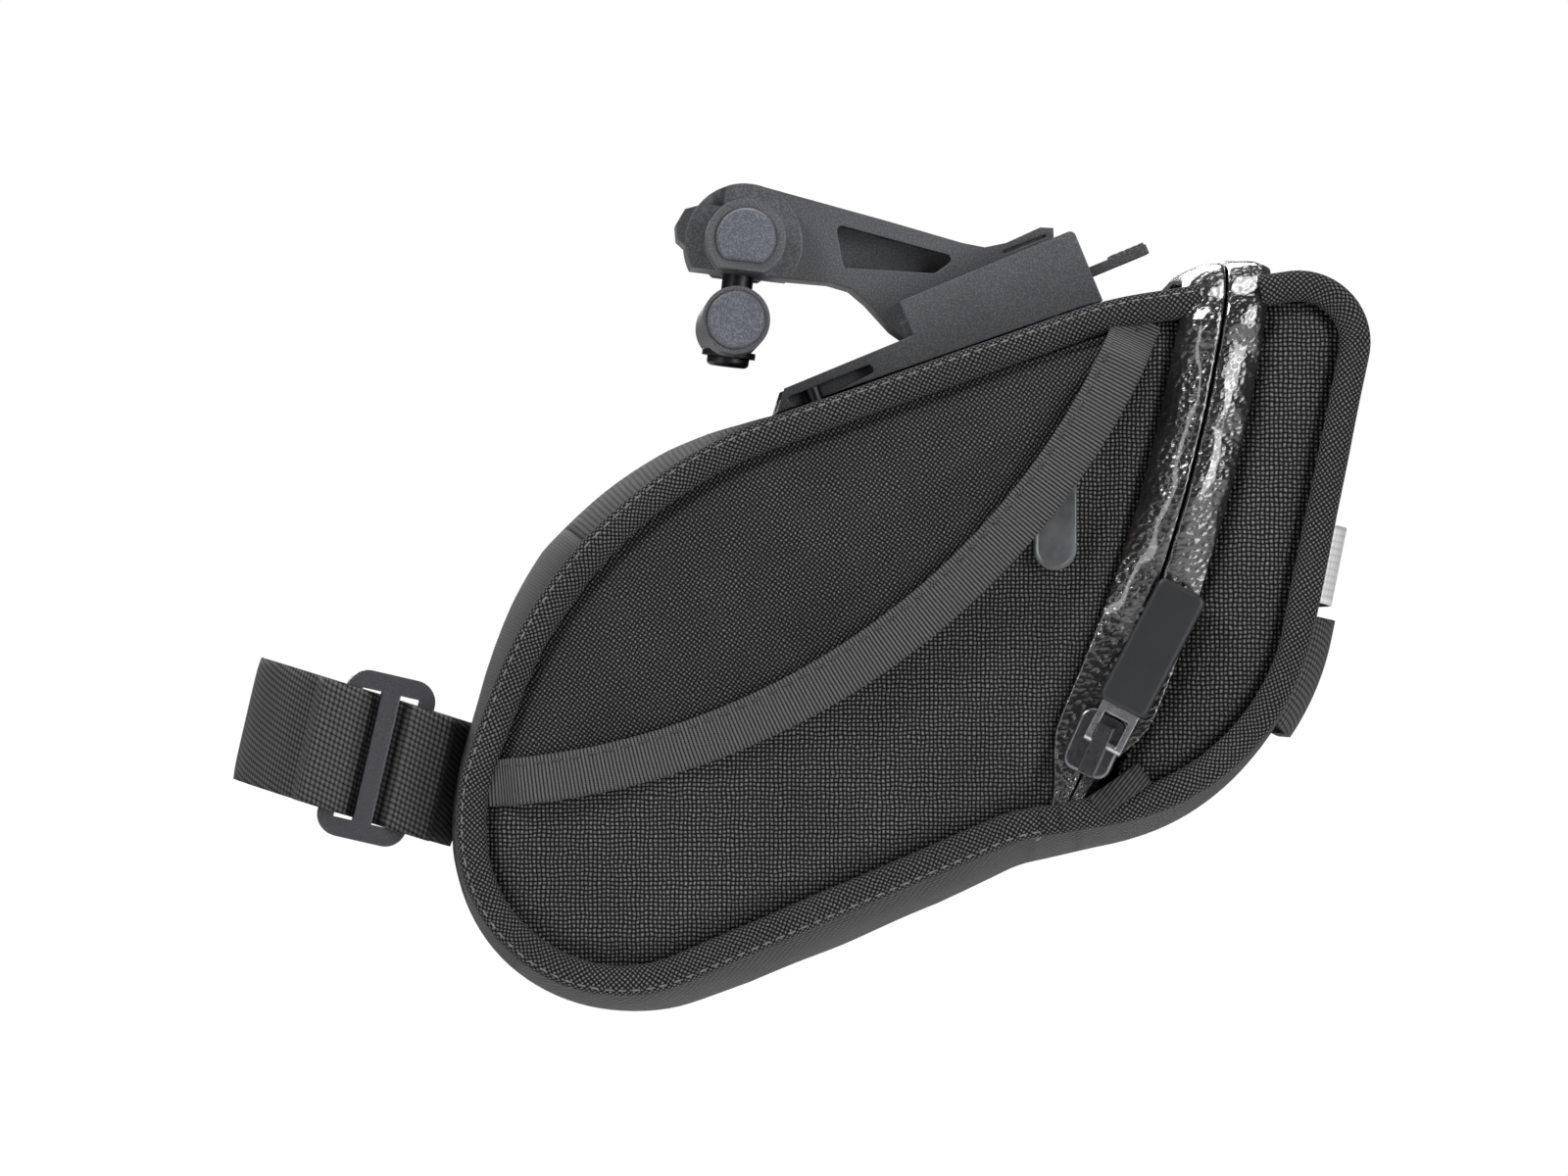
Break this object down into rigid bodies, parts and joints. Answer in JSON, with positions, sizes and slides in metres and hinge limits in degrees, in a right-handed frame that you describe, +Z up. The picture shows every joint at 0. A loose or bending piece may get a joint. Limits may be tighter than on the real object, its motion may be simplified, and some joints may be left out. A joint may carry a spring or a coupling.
{
  "type": "bicycle saddle bag",
  "caption": "Wedge-shaped zipped saddle bag that slides onto a saddle-rail clamp and straps round the seatpost.",
  "frame": {"origin": "midway between the two saddle rails' axes, at the middle of the rail clamp", "axes": "+X to the rear of the bicycle, +Y to its right, +Z up, with the bag as it hangs in use"},
  "size_m": [0.1804, 0.0872, 0.1323],
  "materials": {
    "shell_fabric": "matt ballistic weave",
    "pocket_fabric": "matt fine weave",
    "piping_tape": "matt rolled binding",
    "binding_tape": "ribbed grosgrain",
    "belly_fabric": "coated weave, low sheen",
    "zip_film": "glossy wrinkled film",
    "zip_coil": "satin",
    "webbing": "matt webbing",
    "moulding": "fine grain",
    "cap_plug": "fine grain",
    "ring_plastic": "glossy",
    "grip_rubber": "satin",
    "gunmetal": "dark plating",
    "bright_steel": "bright",
    "dark_steel": "black plated",
    "tab_rubber": "translucent grey",
    "reflective": "reflective film"
  },
  "bodies": {
    "fixer": {"fixer_body": "moulding", "clamp_nut": "dark_steel", "upper_bar_cap_left": "cap_plug", "upper_bar_cap_right": "cap_plug"},
    "lower_jaw": {"lower_jaw": "moulding", "lower_bar_cap_left": "cap_plug", "lower_bar_cap_right": "cap_plug", "clamp_washer": "dark_steel"},
    "clamp_bolt": {"clamp_bolt": "dark_steel"},
    "release_tongue": {"release_tongue": "moulding"},
    "bag": {"bag_bracket": "moulding", "backing_plate": "moulding", "bracket_screws": "dark_steel", "nose_gusset": "shell_fabric", "top_gusset": "shell_fabric", "bottom_gusset": "belly_fabric", "left_side_panel": "shell_fabric", "right_side_panel": "shell_fabric", "left_piping": "piping_tape", "right_piping": "piping_tape", "left_pocket_panel": "pocket_fabric", "right_pocket_panel": "pocket_fabric", "left_pocket_binding": "binding_tape", "right_pocket_binding": "binding_tape", "left_pocket_tab": "tab_rubber", "right_pocket_tab": "tab_rubber", "zip_tape_front": "zip_film", "zip_coil_front": "zip_coil", "post_strap": "webbing", "strap_ring": "ring_plastic"},
    "strap_tail": {"strap_tail": "webbing"},
    "rear_cap": {"cap_gusset": "shell_fabric", "cap_left_panel": "shell_fabric", "cap_right_panel": "shell_fabric", "cap_left_piping": "piping_tape", "cap_right_piping": "piping_tape", "zip_tape_rear": "zip_film", "zip_coil_rear": "zip_coil", "reflective_strip": "reflective", "light_loop": "webbing", "zip_end_tab_left": "binding_tape", "zip_end_tab_right": "binding_tape"},
    "zip_slider": {"zip_slider": "gunmetal"},
    "zip_pull": {"pull_link": "bright_steel", "pull_grip": "grip_rubber"}
  },
  "joints": [
    {"name": "jaw_open", "type": "slide", "parent": "fixer", "child": "lower_jaw", "axis": [-0.1219, 0, -0.9925], "range_m": [0, 0.004]},
    {"name": "bolt_turn", "type": "hinge", "parent": "lower_jaw", "child": "clamp_bolt", "pos_m": [-0.00146, 0, -0.01191], "axis": [-0.1219, 0, -0.9925], "range_deg": [0, 1800]},
    {"name": "tongue_press", "type": "hinge", "parent": "fixer", "child": "release_tongue", "pos_m": [0.04211, 0, -0.00431], "axis": [0, 1, 0], "range_deg": [0, 3.2], "stiffness_Nm_per_rad": 0.8},
    {"name": "bag_slide_off", "type": "slide", "parent": "fixer", "child": "bag", "axis": [0.9239, 0, 0.3827], "range_m": [0, 0.045]},
    {"name": "tail_peel", "type": "hinge", "parent": "bag", "child": "strap_tail", "pos_m": [-0.06718, -0.01712, -0.07407], "axis": [0.225, 0, 0.9744], "range_deg": [0, 100]},
    {"name": "cap_open", "type": "hinge", "parent": "bag", "child": "rear_cap", "pos_m": [0.0485, 0, -0.0923], "axis": [0, 1, 0], "range_deg": [0, 65]},
    {"name": "zip_run", "type": "hinge", "parent": "bag", "child": "zip_slider", "pos_m": [-0.1875, -0.01303, 0.0347], "axis": [-0.0975, -0.9952, 0], "range_deg": [0, 13.5]},
    {"name": "pull_swing", "type": "hinge", "parent": "zip_slider", "child": "zip_pull", "pos_m": [0.0568, -0.04159, -0.07374], "axis": [0.8818, -0.0864, -0.4637], "range_deg": [0, 150]}
  ],
  "couplings": [
    {"joint": "bolt_turn", "follows": "jaw_open", "rad_per_m": 7853.9}
  ]
}
